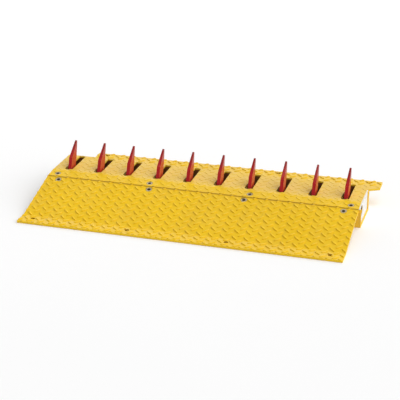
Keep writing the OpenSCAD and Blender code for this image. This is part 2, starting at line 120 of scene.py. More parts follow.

# How strongly each kind of dirt, wear, painted shade, painted sheen and painted highlight covers the paint,
# from nothing to one
UNEVEN_SHARE = 0.32
SPECK_SHARE = 0.35
LUG_TOP_WEAR_AND_HIGHLIGHT_SHARE = 0.14
LUG_FOOT_DIRT_AND_SHADE_SHARE = 0.22
SCUFF_SHARE = 0.14
DECK_DUST_AND_SHEEN_SHARE = 0.26
JOINT_DIRT_SHARE = 0.7
SLOT_SHADE_SHARE = 0.92
SCREW_RING_SHADE_SHARE = 0.6
SOCKET_RIM_SHARE = 0.9
TIP_MARK_SHARES = (0.06, 0.46)


def spike_x(number):
    return (number - (SPIKE_COUNT + 1) / 2) * SPIKE_PITCH


# Camera, where the photographer stood
CAMERA_PLACE = Vector((919.0, -2894.335, 1345.42))
CAMERA_FORWARD = Vector((-0.28138597, 0.86935586, -0.40625401))
CAMERA_ROLL = math.radians(-1.07)
CAMERA_LENS = 103.5
SENSOR_WIDTH = 36
CLIP_END = 100


def add_camera():
    data = bpy.data.cameras.new("camera")
    data.sensor_width = SENSOR_WIDTH
    data.lens = CAMERA_LENS
    data.clip_end = CLIP_END
    camera = bpy.data.objects.new("camera", data)
    forward = CAMERA_FORWARD.normalized()
    level = forward.cross(Vector((0, 0, 1))).normalized()
    lift = level.cross(forward)
    right = math.cos(CAMERA_ROLL) * level + math.sin(CAMERA_ROLL) * lift
    up = right.cross(forward)
    turn = Matrix((right, up, -forward)).transposed().to_4x4()
    camera.matrix_world = Matrix.Translation(CAMERA_PLACE * MM) @ turn
    scene.collection.objects.link(camera)
    scene.camera = camera


add_camera()


# Shader helpers
class Nodes:
    """Adds nodes to one tree, each with its values, and links what feeds them."""

    def __init__(self, tree):
        self.tree = tree

    def add(self, kind, feeds=None, **settings):
        node = self.tree.nodes.new(kind)
        for name, value in settings.items():
            setattr(node, name, value)
        for name, value in (feeds or {}).items():
            self.feed(node.inputs[name], value)
        return node

    def feed(self, socket, value):
        if isinstance(value, bpy.types.NodeSocket):
            self.tree.links.new(value, socket)
        else:
            socket.default_value = value

    def math(self, operation, a, b=0.0, clamp=False):
        return self.add("ShaderNodeMath", {0: a, 1: b}, operation=operation, use_clamp=clamp).outputs[0]

    def times(self, first, *others):
        """Product of masks, held between nothing and one at the end."""
        product = first
        for value in others[:-1]:
            product = self.math("MULTIPLY", product, value)
        return self.math("MULTIPLY", product, others[-1], True)

    def blend(self, share, a, b):
        node = self.add("ShaderNodeMix", data_type="RGBA")
        for name, value in (("Factor_Float", share), ("A_Color", a), ("B_Color", b)):
            self.feed(next(s for s in node.inputs if s.identifier == name), value)
        return next(s for s in node.outputs if s.identifier == "Result_Color")

    def range(self, value, low, high, to_low=0.0, to_high=1.0):
        feeds = {"Value": value, "From Min": low, "From Max": high, "To Min": to_low, "To Max": to_high}
        return self.add("ShaderNodeMapRange", feeds, interpolation_type="SMOOTHSTEP").outputs["Result"]

    def reach(self, value, near, far, at_near=1.0, at_far=0.0):
        """Eases from one value to another between two places in millimetres."""
        return self.range(value, near * MM, far * MM, at_near, at_far)

    def within(self, value, low, high):
        """One between two places in millimetres, falling to nothing a short way outside them."""
        after = self.reach(value, low - SOFT, low, 0.0, 1.0)
        before = self.reach(value, high, high + SOFT)
        return self.times(after, before)

    def noise(self, vector, scale, detail=3.0, rough=0.55):
        feeds = {"Vector": vector, "Scale": scale, "Detail": detail, "Roughness": rough}
        return self.add("ShaderNodeTexNoise", feeds).outputs["Fac"]

    def hypot(self, a, b):
        return self.math("SQRT", self.math("ADD", self.math("MULTIPLY", a, a), self.math("MULTIPLY", b, b)))

    def split(self, vector):
        return self.add("ShaderNodeSeparateXYZ", {"Vector": vector}).outputs

    def place(self, stretch=(1, 1, 1)):
        coords = self.add("ShaderNodeTexCoord").outputs["Object"]
        return self.add("ShaderNodeMapping", {"Vector": coords, "Scale": stretch}).outputs["Vector"]

    def normal(self):
        return self.add("ShaderNodeNewGeometry").outputs["Normal"]


def new_group(name, takes, gives):
    group = bpy.data.node_groups.new(name, "ShaderNodeTree")
    for label, kind, value in takes:
        socket = group.interface.new_socket(name=label, in_out="INPUT", socket_type="NodeSocket" + kind)
        socket.default_value = value
    for label, kind in gives:
        group.interface.new_socket(name=label, in_out="OUTPUT", socket_type="NodeSocket" + kind)
    nodes = Nodes(group)
    return group, nodes, nodes.add("NodeGroupInput").outputs, nodes.add("NodeGroupOutput").inputs


# Sprayed paint: broad shade changes and a fine orange-peel skin
def make_paint_film():
    takes = [("Paint", "Color", (1, 1, 1, 1)), ("Shade", "Color", (0, 0, 0, 1)), ("Amount", "Float", 0.3)]
    gives = [("Color", "Color"), ("Roughness", "Float"), ("Height", "Float")]
    group, nodes, given, result = new_group("paint_film", takes, gives)
    place = nodes.place()
    broad = nodes.range(nodes.noise(place, 9.0, 4.0), 0.35, 0.7)
    speck = nodes.range(nodes.noise(place, 210.0, 2.0), 0.4, 0.75)
    uneven = nodes.math("ADD", broad, nodes.math("MULTIPLY", speck, SPECK_SHARE))
    share = nodes.times(uneven, given["Amount"])
    nodes.feed(result["Color"], nodes.blend(share, given["Paint"], given["Shade"]))
    nodes.feed(result["Roughness"], nodes.range(nodes.noise(place, 38.0), 0.3, 0.7, -0.06, 0.07))
    nodes.feed(result["Height"], nodes.noise(place, 620.0, 1.0))
    return group


# Wear on edges: where the rounded normal leaves the true one, broken up by noise
def make_edge_wear():
    takes = [("Radius", "Float", 0.001), ("Amount", "Float", 0.5), ("Scale", "Float", 160.0)]
    group, nodes, given, result = new_group("edge_wear", takes, [("Mask", "Float")])
    rounded = nodes.add("ShaderNodeBevel", {"Radius": given["Radius"]}, samples=4).outputs["Normal"]
    compare = nodes.add("ShaderNodeVectorMath", {0: rounded, 1: nodes.normal()}, operation="DOT_PRODUCT")
    edge = nodes.range(nodes.math("SUBTRACT", 1.0, compare.outputs["Value"]), 0.01, 0.16)
    chips = nodes.range(nodes.noise(nodes.place(), given["Scale"], 4.0, 0.65), 0.42, 0.6)
    nodes.feed(result["Mask"], nodes.times(edge, chips, given["Amount"]))
    return group


# Road dust: it lies on faces that look up, in drifts, and splashes up from the ground
def make_road_dust():
    takes = [("Amount", "Float", 0.3), ("Scale", "Float", 14.0)]
    group, nodes, given, result = new_group("road_dust", takes, [("Mask", "Float")])
    place = nodes.place()
    upward = nodes.range(nodes.split(nodes.normal())["Z"], 0.2, 0.95)
    drift = nodes.range(nodes.noise(place, given["Scale"], 6.0, 0.62), 0.42, 0.72)
    splash = nodes.reach(nodes.split(place)["Z"], *SPLASH_Z, 0.8, 0.0)
    lies = nodes.math("ADD", upward, splash, True)
    nodes.feed(result["Mask"], nodes.times(drift, lies, given["Amount"]))
    return group


# Marks of tyres and boots: streaks along the way the traffic drives
def make_drive_scuffs():
    takes = [("Amount", "Float", 0.3), ("Scale", "Float", 60.0)]
    group, nodes, given, result = new_group("drive_scuffs", takes, [("Mask", "Float")])
    streak = nodes.range(nodes.noise(nodes.place((1.0, 0.09, 0.4)), given["Scale"], 5.0, 0.6), 0.55, 0.72)
    patch = nodes.range(nodes.noise(nodes.place(), 5.0, 2.0), 0.45, 0.65)
    nodes.feed(result["Mask"], nodes.times(streak, patch, given["Amount"]))
    return group


# Grain of drawn or turned steel, stretched along the length of the piece
def make_steel_grain():
    takes = [
        ("Light", "Color", (0.6, 0.6, 0.6, 1)),
        ("Dark", "Color", (0.3, 0.3, 0.3, 1)),
        ("Scale", "Float", 300.0),
    ]
    gives = [("Color", "Color"), ("Roughness", "Float"), ("Height", "Float")]
    group, nodes, given, result = new_group("steel_grain", takes, gives)
    lines = nodes.noise(nodes.place((0.03, 1.0, 1.0)), given["Scale"], 4.0, 0.6)
    clouds = nodes.noise(nodes.place(), 45.0, 3.0)
    share = nodes.range(nodes.math("MULTIPLY", nodes.math("ADD", lines, clouds), 0.5), 0.35, 0.65)
    nodes.feed(result["Color"], nodes.blend(share, given["Light"], given["Dark"]))
    nodes.feed(result["Roughness"], nodes.range(clouds, 0.3, 0.7, -0.07, 0.08))
    nodes.feed(result["Height"], lines)
    return group


# Pale dust on the level deck behind the fold of the top plate, and with it a painted sheen that stands for
# the bright sky reflected off the deck at a low angle
def make_deck_dust_and_sheen():
    takes = [("Amount", "Float", 0.3), ("Fold Y", "Float", 0.0), ("Rear Y", "Float", 0.0)]
    group, nodes, given, result = new_group("deck_dust_and_sheen", takes, [("Mask", "Float")])
    place = nodes.place()
    y = nodes.split(place)["Y"]
    behind_fold = nodes.reach(nodes.math("SUBTRACT", y, given["Fold Y"]), *DUST_AND_SHEEN_FROM_FOLD, 0.0, 1.0)
    flange = nodes.reach(nodes.math("SUBTRACT", y, given["Rear Y"]), *DUST_AND_SHEEN_FROM_REAR, 1.0, 0.35)
    upward = nodes.range(nodes.split(nodes.normal())["Z"], 0.6, 0.97, 0.35, 1.0)
    cloud = nodes.range(nodes.noise(place, 17.0, 5.0, 0.6), 0.3, 0.7, 0.75, 1.15)
    nodes.feed(result["Mask"], nodes.times(behind_fold, flange, upward, cloud, given["Amount"]))
    return group


# Dirt along the joint of the two tread plates
def make_joint_dirt():
    takes = [("Amount", "Float", JOINT_DIRT_SHARE), ("Joint Y", "Float", 0.0)]
    group, nodes, given, result = new_group("joint_dirt", takes, [("Mask", "Float")])
    place = nodes.place()
    away = nodes.math("ABSOLUTE", nodes.math("SUBTRACT", nodes.split(place)["Y"], given["Joint Y"]))
    patchy = nodes.range(nodes.noise(place, 55.0, 4.0, 0.6), 0.3, 0.65, 0.9, 1.0)
    nodes.feed(result["Mask"], nodes.times(nodes.reach(away, *DIRT_FROM_JOINT), patchy, given["Amount"]))
    return group


# How far a point lies, in plan, from the nearest axis in an even row of four holes or screws
def make_row_distance():
    takes = [
        ("Middle X", "Float", 0.0),
        ("First X", "Float", 0.1),
        ("Step X", "Float", 1.0),
        ("Row Y", "Float", 0.0),
    ]
    group, nodes, given, result = new_group("row_distance", takes, [("Distance", "Float")])
    where = nodes.split(nodes.place())
    out = nodes.math("ABSOLUTE", nodes.math("SUBTRACT", where["X"], given["Middle X"]))
    half_step = nodes.math("MULTIPLY", given["Step X"], 0.5)
    past = nodes.math("ADD", nodes.math("SUBTRACT", out, given["First X"]), half_step)
    dx = nodes.math("SUBTRACT", nodes.math("FLOORED_MODULO", past, given["Step X"]), half_step)
    nodes.feed(result["Distance"], nodes.hypot(dx, nodes.math("SUBTRACT", where["Y"], given["Row Y"])))
    return group


# Painted shade in front of each slot, reaching mostly to the front and to the left, that stands for the dark
# shaded front of the slot
def make_painted_slot_shade():
    takes = [("Amount", "Float", SLOT_SHADE_SHARE)]
    group, nodes, given, result = new_group("painted_slot_shade", takes, [("Mask", "Float")])
    where = nodes.split(nodes.place())
    pitch = SPIKE_PITCH * MM
    half_width = SLOT_WIDTH / 2 * MM
    past = nodes.math("ADD", where["X"], pitch * SPIKE_COUNT / 2)
    dx = nodes.math("SUBTRACT", nodes.math("FLOORED_MODULO", past, pitch), pitch / 2)
    drawn = nodes.reach(where["Y"], SLOT_FRONT_Y, SLOT_REAR_Y, SLOT_SHADE_LEFT * MM, 0.0)
    ahead = nodes.math("SUBTRACT", where["Y"], SLOT_SHADE_FRONT_Y * MM + half_width)
    round_off = nodes.hypot(nodes.math("ADD", dx, drawn), nodes.math("MINIMUM", ahead, 0.0))
    shaded = nodes.reach(nodes.math("SUBTRACT", round_off, half_width), *SLOT_SHADE_FROM_EDGE)
    upward = nodes.range(nodes.split(nodes.normal())["Z"], 0.6, 0.9)
    fading = nodes.reach(where["Y"], *SLOT_SHADE_Y)
    nodes.feed(result["Mask"], nodes.times(shaded, upward, fading, given["Amount"]))
    return group


# Painted shade together with dark dirt and oil inside the housing, which creeps up the walls of the slots
def make_inner_grime_and_shade():
    group, nodes, given, result = new_group("inner_grime_and_shade", [("Amount", "Float", 1.0)], [("Mask", "Float")])
    place = nodes.place()
    where = nodes.split(place)
    across = nodes.within(where["X"], INNER_LEFT_X, INNER_RIGHT_X)
    room = nodes.times(across, nodes.within(where["Y"], -INNER_Y, INNER_Y))
    under = nodes.times(room, nodes.within(where["Z"], FLOOR_Z, CEILING_Z))
    steep = nodes.range(nodes.math("ABSOLUTE", nodes.split(nodes.normal())["Z"]), 0.5, 0.7, 1.0, 0.0)
    slot_wall = nodes.times(steep, nodes.within(where["Y"], SLOT_FRONT_Y - SOFT, INNER_Y))
    creep = nodes.times(room, slot_wall, nodes.reach(where["Z"], CEILING_Z, CEILING_Z + CREEP))
    patchy = nodes.range(nodes.noise(place, 60.0, 5.0, 0.6), 0.25, 0.6, 0.88, 1.0)
    nodes.feed(result["Mask"], nodes.times(nodes.math("MAXIMUM", under, creep), patchy, given["Amount"]))
    return group


PAINT_FILM = make_paint_film()
EDGE_WEAR = make_edge_wear()
ROAD_DUST = make_road_dust()
DRIVE_SCUFFS = make_drive_scuffs()
STEEL_GRAIN = make_steel_grain()
DECK_DUST_AND_SHEEN = make_deck_dust_and_sheen()
JOINT_DIRT = make_joint_dirt()
INNER_GRIME_AND_SHADE = make_inner_grime_and_shade()
ROW_DISTANCE = make_row_distance()
PAINTED_SLOT_SHADE = make_painted_slot_shade()


def new_material(name):
    material = bpy.data.materials.new(name)
    material.use_nodes = True
    material.node_tree.nodes.clear()
    nodes = Nodes(material.node_tree)
    shader = nodes.add("ShaderNodeBsdfPrincipled")
    output = nodes.add("ShaderNodeOutputMaterial")
    nodes.feed(output.inputs["Surface"], shader.outputs["BSDF"])
    return material, nodes, shader


def use(nodes, group, **values):
    node = nodes.add("ShaderNodeGroup", node_tree=group)
    for name, value in values.items():
        nodes.feed(node.inputs[name], value)
    return node.outputs


# Some of these colours are painted light: the deck's sheen, the lozenge tops' highlight, the spikes' lit
# side, and shade inside the housing, in holes, round screws, in sockets, on lozenge feet and before the slots
DUST_COLOUR = (0.42, 0.36, 0.27, 1)
DECK_DUST_AND_SHEEN_COLOUR = (0.64, 0.49, 0.27, 1)
RUBBER_COLOUR = (0.075, 0.06, 0.045, 1)
PRIMER_COLOUR = (0.30, 0.25, 0.16, 1)
DIRT_AND_SHADE_COLOUR = (0.27, 0.11, 0.002, 1)
GRIME_AND_SHADE_COLOUR = (0.22, 0.075, 0.018, 1)
SLOT_SHADE_COLOUR = (0.045, 0.012, 0.004, 1)
HOLE_DIRT_AND_SHADE_COLOUR = (0.45, 0.23, 0.004, 1)
SCREW_RING_SHADE_COLOUR = (0.16, 0.115, 0.03, 1)
SOCKET_SHADE_COLOUR = (0.030, 0.018, 0.008, 1)
LUG_TOP_WEAR_AND_HIGHLIGHT_COLOUR = (1.0, 0.70, 0.06, 1)
LUG_FOOT_DIRT_AND_SHADE_COLOUR = (0.45, 0.25, 0.004, 1)
TIP_MARK_COLOUR = (0.06, 0.014, 0.012, 1)
# Painted light on the spikes' sunlit side
PAINTED_LIT_RED = (0.50, 0.055, 0.018, 1)
EDGE_YELLOW = (0.90, 0.54, 0.04, 1)
DUST_MATT = 0.5
GRIME_AND_SHADE_MATT = 0.4
STEEL_DUST_SCALE = 40.0
SKIN_HEIGHT = 0.2
SKIN_BUMP = {"Strength": 0.16, "Distance": 0.0004}
GRAIN_BUMP = {"Strength": 0.12, "Distance": 0.0003}


def painted(name, paint, shade, rough, dust, wear, wear_colour, specular, wear_metal=0.0, layers=()):
    """Sprayed paint. The layers are further masks, each with the colour that it brings and how matt it is."""
    material, nodes, shader = new_material(name)
    film = use(nodes, PAINT_FILM, Paint=paint, Shade=shade, Amount=UNEVEN_SHARE)
    colour = film["Color"]
    roughness = nodes.math("ADD", film["Roughness"], rough)
    for make_mask, layer_colour, matt in layers:
        mask = make_mask(nodes)
        colour = nodes.blend(mask, colour, layer_colour)
        if matt:
            roughness = nodes.math("ADD", roughness, nodes.math("MULTIPLY", mask, matt))
    dusty = use(nodes, ROAD_DUST, Amount=dust)["Mask"]
    worn = use(nodes, EDGE_WEAR, Radius=WEAR_RADIUS * MM, Amount=wear)["Mask"]
    # Painted shade, with dirt, darkens the inside of the housing
    inside = use(nodes, INNER_GRIME_AND_SHADE)["Mask"]
    colour = nodes.blend(dusty, colour, DUST_COLOUR)
    colour = nodes.blend(worn, colour, wear_colour)
    nodes.feed(shader.inputs["Base Color"], nodes.blend(inside, colour, GRIME_AND_SHADE_COLOUR))
    roughness = nodes.math("ADD", roughness, nodes.math("MULTIPLY", dusty, DUST_MATT))
    roughness = nodes.math("ADD", roughness, nodes.math("MULTIPLY", inside, GRIME_AND_SHADE_MATT), True)
    nodes.feed(shader.inputs["Roughness"], roughness)
    if wear_metal:
        nodes.feed(shader.inputs["Metallic"], nodes.math("MULTIPLY", worn, wear_metal))
    skin = nodes.math("SUBTRACT", nodes.math("MULTIPLY", film["Height"], SKIN_HEIGHT), worn)
    bump = nodes.add("ShaderNodeBump", {"Height": skin, **SKIN_BUMP})
    nodes.feed(shader.inputs["Normal"], bump.outputs["Normal"])
    shader.inputs["Specular IOR Level"].default_value = specular
    return material


def steel(name, light, dark, rough, dust, scale, sockets=None):
    """Bare metal. The sockets are a mask of painted shade in the heads of screws."""
    material, nodes, shader = new_material(name)
    grain = use(nodes, STEEL_GRAIN, Light=light, Dark=dark, Scale=scale)
    dusty = use(nodes, ROAD_DUST, Amount=dust, Scale=STEEL_DUST_SCALE)["Mask"]
    colour = nodes.blend(dusty, grain["Color"], DUST_COLOUR)
    matt = dusty
    if sockets:
        deep = sockets(nodes)
        colour = nodes.blend(deep, colour, SOCKET_SHADE_COLOUR)
        matt = nodes.math("MAXIMUM", dusty, deep)
    nodes.feed(shader.inputs["Base Color"], colour)
    nodes.feed(shader.inputs["Metallic"], nodes.math("SUBTRACT", 1.0, matt, True))
    roughness = nodes.math("ADD", grain["Roughness"], rough)
    roughness = nodes.math("ADD", roughness, nodes.math("MULTIPLY", matt, DUST_MATT))
    nodes.feed(shader.inputs["Roughness"], roughness)
    bump = nodes.add("ShaderNodeBump", {"Height": grain["Height"], **GRAIN_BUMP})
    nodes.feed(shader.inputs["Normal"], bump.outputs["Normal"])
    return material


# Masks of single finishes
def lug_rise(nodes):
    return nodes.add("ShaderNodeAttribute", attribute_name="lug_rise").outputs["Fac"]


# Painted highlight together with wear: the tops of the lozenges are lighter
def lug_top_wear_and_highlight(nodes):
    return nodes.times(lug_rise(nodes), LUG_TOP_WEAR_AND_HIGHLIGHT_SHARE)


# Painted shade together with dirt: the feet and lower flanks of the lozenges are darker
def lug_foot_dirt_and_shade(nodes):
    rise = lug_rise(nodes)
    above_foot = nodes.range(rise, 0.0, 0.2)
    below_top = nodes.range(rise, 0.45, 0.95, 1.0, 0.0)
    return nodes.times(above_foot, below_top, LUG_FOOT_DIRT_AND_SHADE_SHARE)


def scuffs(nodes):
    return use(nodes, DRIVE_SCUFFS, Amount=SCUFF_SHARE)["Mask"]


# Dust and painted sheen on the deck
def deck_dust_and_sheen(nodes):
    lines = {"Fold Y": (FRONT_Y + STRIP_RUN) * MM, "Rear Y": REAR_Y * MM}
    return use(nodes, DECK_DUST_AND_SHEEN, Amount=DECK_DUST_AND_SHEEN_SHARE, **lines)["Mask"]


def joint_dirt(nodes):
    return use(nodes, JOINT_DIRT, **{"Joint Y": DIRT_Y * MM})["Mask"]


def row_distance(nodes, xs, y):
    """Distance from the nearest of four axes, placed evenly on both sides of their middle."""
    middle = (xs[1] + xs[2]) / 2
    row = {"Middle X": middle, "First X": xs[2] - middle, "Step X": xs[3] - xs[2], "Row Y": y}
    return use(nodes, ROW_DISTANCE, **{name: value * MM for name, value in row.items()})["Distance"]


# Dirt and painted shade on the steep walls of a row of holes
def hole_walls(nodes, xs, y, diameter):
    steep = nodes.range(nodes.math("ABSOLUTE", nodes.split(nodes.normal())["Z"]), 0.6, 0.9, 1.0, 0.0)
    near = nodes.reach(row_distance(nodes, xs, y), *(diameter / 2 + out for out in HOLE_SKIN))
    return nodes.times(near, steep)


def anchor_holes(nodes):
    return hole_walls(nodes, ANCHOR_XS, ANCHOR_Y, ANCHOR_D)


def flange_holes(nodes):
    """Dirt and painted shade on the walls of the holes of the rear flange, apart from the one in the tab,
    which is clean.
    """
    walls = hole_walls(nodes, REAR_HOLE_XS, REAR_HOLE_Y, REAR_HOLE_D)
    x = nodes.split(nodes.place())["X"]
    return nodes.times(walls, nodes.reach(x, CLEAN_TAB_X, CLEAN_TAB_X + SOFT))


def screw_ring_shade(nodes):
    """Painted shade round the heads of the screws, in the countersinks and on the paint beside them, standing
    for the shadow at the countersink's edge.
    """
    ramp_row = row_distance(nodes, RAMP_SCREW_XS, RAMP_SCREW_Y)
    top_row = row_distance(nodes, TOP_SCREW_XS, TOP_SCREW_Y)
    return nodes.reach(nodes.math("MINIMUM", ramp_row, top_row), *SCREW_RING_R, SCREW_RING_SHADE_SHARE, 0.0)


# Painted shade at the front of each slot
def painted_slot_shade(nodes):
    return use(nodes, PAINTED_SLOT_SHADE)["Mask"]


# Painted light: faces turned to the right, towards the sun, get a brighter, more orange red
def painted_lit_side(nodes):
    return nodes.range(nodes.split(nodes.normal())["X"], 0.6, 0.95)


def tip_marks(nodes):
    """Darker colour towards the tips of the spikes."""
    return nodes.reach(nodes.split(nodes.place())["Z"], *TIP_MARKS_Z, *TIP_MARK_SHARES)


def front_edge(nodes):
    return nodes.range(nodes.split(nodes.normal())["Y"], -0.8, -0.6, 1.0, 0.0)


def socket_shade(xs, y, angle):
    """Painted shade in and round the sockets of the screws that stand in a plate of the given slope."""

    def mask(nodes):
        where = nodes.split(nodes.place())
        along = nodes.math("MULTIPLY", nodes.math("SUBTRACT", where["Y"], FRONT_Y * MM), -math.sin(angle))
        above = nodes.math("MULTIPLY", nodes.math("SUBTRACT", where["Z"], RAMP_TOP_Z * MM), math.cos(angle))
        deep = nodes.reach(nodes.math("ADD", along, above), *SOCKET_DEPTH)
        rim = nodes.reach(row_distance(nodes, xs, y), *SOCKET_RIM_R, SOCKET_RIM_SHARE, 0.0)
        return nodes.math("MAXIMUM", deep, rim)

    return mask


TREAD_YELLOW = painted(
    "tread_yellow_paint",
    paint=(0.85, 0.545, 0.012, 1), shade=(0.74, 0.455, 0.008, 1), rough=0.34, specular=0.15,
    dust=0.06, wear=0.45, wear_colour=PRIMER_COLOUR,
    # Several of these layers are painted light: highlights on the lozenge tops, shade at their feet, a sheen
    # on the deck, and shade in the holes, round the screws and in front of the slots
    layers=[
        (lug_top_wear_and_highlight, LUG_TOP_WEAR_AND_HIGHLIGHT_COLOUR, 0.0),
        (lug_foot_dirt_and_shade, LUG_FOOT_DIRT_AND_SHADE_COLOUR, 0.0),
        (scuffs, RUBBER_COLOUR, 0.2),
        (deck_dust_and_sheen, DECK_DUST_AND_SHEEN_COLOUR, 0.3),
        (joint_dirt, DIRT_AND_SHADE_COLOUR, 0.5),
        (anchor_holes, HOLE_DIRT_AND_SHADE_COLOUR, 0.5),
        (flange_holes, DIRT_AND_SHADE_COLOUR, 0.5),
        (screw_ring_shade, SCREW_RING_SHADE_COLOUR, 0.4),
        (painted_slot_shade, SLOT_SHADE_COLOUR, 0.6),
    ],
)
HOUSING_YELLOW = painted(
    "housing_yellow_paint",
    paint=(0.92, 0.56, 0.04, 1), shade=(0.80, 0.46, 0.03, 1), rough=0.42, specular=0.25,
    dust=0.12, wear=0.35, wear_colour=PRIMER_COLOUR,
)
END_PALE = painted(
    "end_plate_pale_paint",
    paint=(0.71, 0.71, 0.70, 1), shade=(0.64, 0.64, 0.63, 1), rough=0.4, specular=0.3,
    dust=0.14, wear=0.12, wear_colour=(0.45, 0.44, 0.42, 1),
    layers=[(front_edge, EDGE_YELLOW, 0.0)],
)
SPIKE_RED = painted(
    "spike_red_paint",
    paint=(0.44, 0.009, 0.010, 1), shade=(0.31, 0.005, 0.007, 1), rough=0.22, specular=0.18,
    dust=0.03, wear=0.35, wear_colour=(0.30, 0.20, 0.18, 1), wear_metal=0.6,
    layers=[(painted_lit_side, PAINTED_LIT_RED, 0.0), (tip_marks, TIP_MARK_COLOUR, 0.2)],
)
BRIGHT_STEEL = steel(
    "bright_steel_finish",
    light=(0.60, 0.60, 0.61, 1), dark=(0.42, 0.42, 0.43, 1), rough=0.3, dust=0.12, scale=260.0,
)
SPRING_STEEL = steel(
    "spring_steel_finish",
    light=(0.34, 0.35, 0.37, 1), dark=(0.18, 0.18, 0.20, 1), rough=0.34, dust=0.14, scale=420.0,
)
ZINC = {
    "light": (0.56, 0.47, 0.31, 1), "dark": (0.38, 0.30, 0.17, 1), "rough": 0.32, "dust": 0.2, "scale": 180.0,
}
RAMP_SOCKETS = socket_shade(RAMP_SCREW_XS, RAMP_SCREW_Y, RAMP_ANGLE)
TOP_SOCKETS = socket_shade(TOP_SCREW_XS, TOP_SCREW_Y, STRIP_ANGLE)
RAMP_SCREW_ZINC = steel("ramp_screw_zinc", sockets=RAMP_SOCKETS, **ZINC)
TOP_SCREW_ZINC = steel("top_screw_zinc", sockets=TOP_SOCKETS, **ZINC)

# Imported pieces, with their sheared edges broken
EDGE_BREAKS = {
    "ramp_plate": 0.7, "top_plate": 0.7, "base_plate": 0.5, "front_wall": 0.5, "rear_wall": 0.5,
    "end_rim_right": 0.5, "stop_bar": 0.5, "ramp_screws": 0.25, "top_screws": 0.25,
}
SPIKE_EDGE_BREAK = 0.6
BREAK_ANGLE = math.radians(35)
SAME_POINT = 0.01
FLAT_ANGLE = math.radians(0.2)
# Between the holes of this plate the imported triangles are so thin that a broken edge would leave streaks
DRAWN_OUT_FLATS = ("ramp_plate",)
TREAD_PLATES = ("ramp_plate", "top_plate")
HOUSING_PIECES = ("front_wall", "rear_wall", "base_plate", "front_rail", "end_rim_right")


def edge_break(piece, width, join_flats):
    weld = piece.modifiers.new("weld", "WELD")
    weld.merge_threshold = SAME_POINT * MM
    if join_flats:
        flats = piece.modifiers.new("join_flats", "DECIMATE")
        flats.decimate_type = "DISSOLVE"
        flats.angle_limit = FLAT_ANGLE
    bevel = piece.modifiers.new("edge_break", "BEVEL")
    bevel.width = width * MM
    bevel.segments = 2
    bevel.limit_method = "ANGLE"
    bevel.angle_limit = BREAK_ANGLE


def dress(piece, material):
    piece.data.materials.clear()
    piece.data.materials.append(material)


def dress_packed_pieces():
    for name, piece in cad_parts.items():
        if name in TREAD_PLATES:
            dress(piece, TREAD_YELLOW)
        elif name.startswith("end_plate"):
            dress(piece, END_PALE)
        elif name.startswith("spike_"):
            dress(piece, SPIKE_RED)
        elif name in HOUSING_PIECES or name.startswith("shaft_rib"):
            dress(piece, HOUSING_YELLOW)
        elif name.startswith("return_spring"):
            dress(piece, SPRING_STEEL)
        elif name == "ramp_screws":
            dress(piece, RAMP_SCREW_ZINC)
        elif name == "top_screws":
            dress(piece, TOP_SCREW_ZINC)
        else:
            dress(piece, BRIGHT_STEEL)
        width = SPIKE_EDGE_BREAK if name.startswith("spike_") else EDGE_BREAKS.get(name)
        if width:
            edge_break(piece, width, name in DRAWN_OUT_FLATS)


dress_packed_pieces()

# Tread plate: raised lozenges in two directions, laid out flat and then bent with the plate
LUG_PITCH_X = 33.04
LUG_PITCH_S = 26.34
LUG_LENGTH = 22.0
LUG_WIDTH = 6.5
LUG_HEIGHT = 2.4
LUG_TURN = math.radians(41)
LUG_SINK = 0.7
LUG_SIDES = 14
LUG_END_POWER = 1.25
LUG_SIDE_POWER = 1.15
LUG_RINGS = [(1.0, 1.0, -LUG_SINK), (0.97, 0.93, 0.6), (0.9, 0.76, 1.8), (0.66, 0.42, LUG_HEIGHT)]
STRIP_LUG_SHARE = 0.55
DECK_LUG_SHARE = 0.34
RAMP_LUG_START = (1.0, 11.2)
TOP_LUG_START = (32.5, 6.7)
CUTTER_REACH = 5
ROUND_SIDES = 32
HOLE_MARGIN = 1.0
BEYOND = 120.0
INSET = 0.7
DOUBLES = 0.0001


def skin(mesh, rings):
    """Closed tube through rings of points, with a face at each end."""
    sides = len(rings[0])
    for low, high in zip(rings, rings[1:]):
        for k in range(sides):
            n = (k + 1) % sides
            mesh.faces.new((low[k], low[n], high[n], high[k]))
    mesh.faces.new(reversed(rings[0]))
    mesh.faces.new(rings[-1])


def round_turns(sides):
    return [2 * math.pi * k / sides for k in range(sides)]


def bulge(value, power):
    return math.copysign(abs(value) ** power, value)


def add_lug(mesh, rise, x, s, turn, worn):
    rings = []
    for along, across, z in LUG_RINGS:
        z = z if z < 0 else z * worn
        ring = []
        for a in round_turns(LUG_SIDES):
            u = bulge(math.cos(a), LUG_END_POWER) * along * LUG_LENGTH / 2
            v = bulge(math.sin(a), LUG_SIDE_POWER) * across * LUG_WIDTH / 2
            px = x + u * math.cos(turn) - v * math.sin(turn)
            ps = s + u * math.sin(turn) + v * math.cos(turn)
            vertex = mesh.verts.new((px, ps, z))
            vertex[rise] = max(0.0, z / (LUG_HEIGHT * worn))
            ring.append(vertex)
        rings.append(ring)
    skin(mesh, rings)


def as_object(name, mesh):
    data = bpy.data.meshes.new(name)
    mesh.to_mesh(data)
    mesh.free()
    piece = bpy.data.objects.new(name, data)
    scene.collection.objects.link(piece)
    return piece


def box_outline(x0, x1, s0, s1):
    return [(x0, s0), (x1, s0), (x1, s1), (x0, s1)]


def round_outline(x, s, diameter):
    r = diameter / 2
    return [(x + r * math.cos(a), s + r * math.sin(a)) for a in round_turns(ROUND_SIDES)]


def add_cutter(outline):
    mesh = bmesh.new()
    skin(mesh, [[mesh.verts.new((x, s, z)) for x, s in outline] for z in (-CUTTER_REACH, CUTTER_REACH)])
    return as_object("cutter", mesh)


